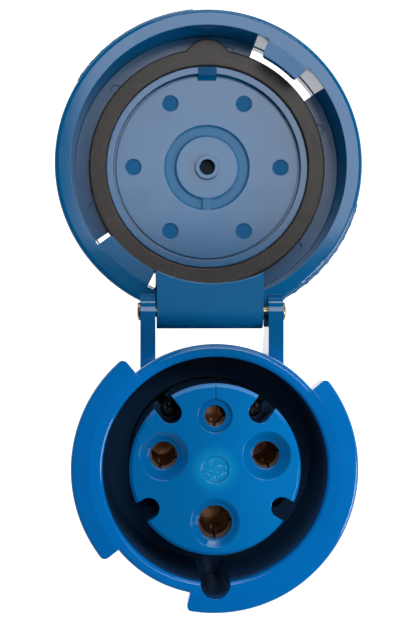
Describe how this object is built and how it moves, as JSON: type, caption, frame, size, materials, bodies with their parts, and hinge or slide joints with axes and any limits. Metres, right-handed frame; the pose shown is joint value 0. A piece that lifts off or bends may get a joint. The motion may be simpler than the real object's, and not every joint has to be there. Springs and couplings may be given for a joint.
{
  "type": "industrial cable socket",
  "caption": "Round in-line power socket with contact sleeves in a shroud, a cord gland at the rear and a hinged lid with a turning bayonet cap.",
  "frame": {"origin": "centre of the gland nut's end face, on the mating axis", "axes": "+Z along the mating axis, out of the socket's mouth; +Y towards the hinge; +X right, seen from the front"},
  "size_m": [0.1126, 0.2127, 0.232],
  "materials": {
    "housing_blue": "satin moulded polyamide",
    "insert_blue": "satin moulded polyamide",
    "lid_blue": "satin moulded polyamide",
    "contact_brass": "turned brass",
    "spring_steel": "spring steel",
    "screw_steel": "zinc-plated steel",
    "pin_steel": "yellow-passivated steel",
    "seal_rubber": "matt rubber",
    "inner_plastic": "moulded polyamide"
  },
  "bodies": {
    "socket": {"front_housing": "housing_blue", "rear_housing": "housing_blue", "gland_nut": "housing_blue", "contact_carrier": "insert_blue", "carrier_base": "insert_blue", "carrier_retainer": "inner_plastic", "contact_live": "contact_brass", "contact_neutral": "contact_brass", "contact_pilot": "contact_brass", "contact_earth": "contact_brass", "contact_springs": "spring_steel", "terminal_screws": "screw_steel", "carrier_screws": "screw_steel", "housing_screws": "screw_steel", "housing_seal": "seal_rubber", "gland_slip_ring": "inner_plastic", "gland_claw": "inner_plastic", "gland_seal": "seal_rubber", "hinge_pin": "pin_steel", "pin_cap": "pin_steel"},
    "lid": {"hinge_plate": "lid_blue", "lid_gasket": "seal_rubber", "pivot_washer": "screw_steel", "pivot_screw": "screw_steel"},
    "cap": {"locking_cap": "lid_blue"}
  },
  "joints": [
    {"name": "lid_swing", "type": "hinge", "parent": "socket", "child": "lid", "pos_m": [0, 0.0534, 0.2035], "axis": [1, 0, 0], "range_deg": [0, 180]},
    {"name": "cap_turn", "type": "hinge", "parent": "lid", "child": "cap", "pos_m": [0, 0.1076, 0.169], "axis": [0, 0, -1], "range_deg": [0, 110]}
  ],
  "couplings": [
    {"joint": "cap_turn", "follows": "lid_swing", "ratio": 0.6083}
  ]
}
